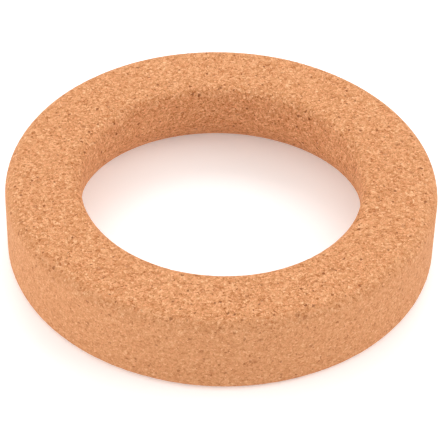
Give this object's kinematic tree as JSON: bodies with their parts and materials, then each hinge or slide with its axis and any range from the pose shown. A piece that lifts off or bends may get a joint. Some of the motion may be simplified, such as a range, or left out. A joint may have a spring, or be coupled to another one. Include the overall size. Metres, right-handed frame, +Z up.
{
  "type": "cork ring",
  "caption": "Flat round ring of pressed cork with a rounded, waisted hole, used as a stand for round-bottomed flasks and bowls.",
  "frame": {"origin": "centre of the foot, on the surface that the ring stands on", "axes": "+Z up along the ring's axis, from the foot to the top face; X and Y are free, because the ring is round"},
  "size_m": [0.14, 0.14, 0.0275],
  "materials": {
    "cork": null
  },
  "bodies": {
    "root": {"ring": "cork"}
  },
  "joints": []
}
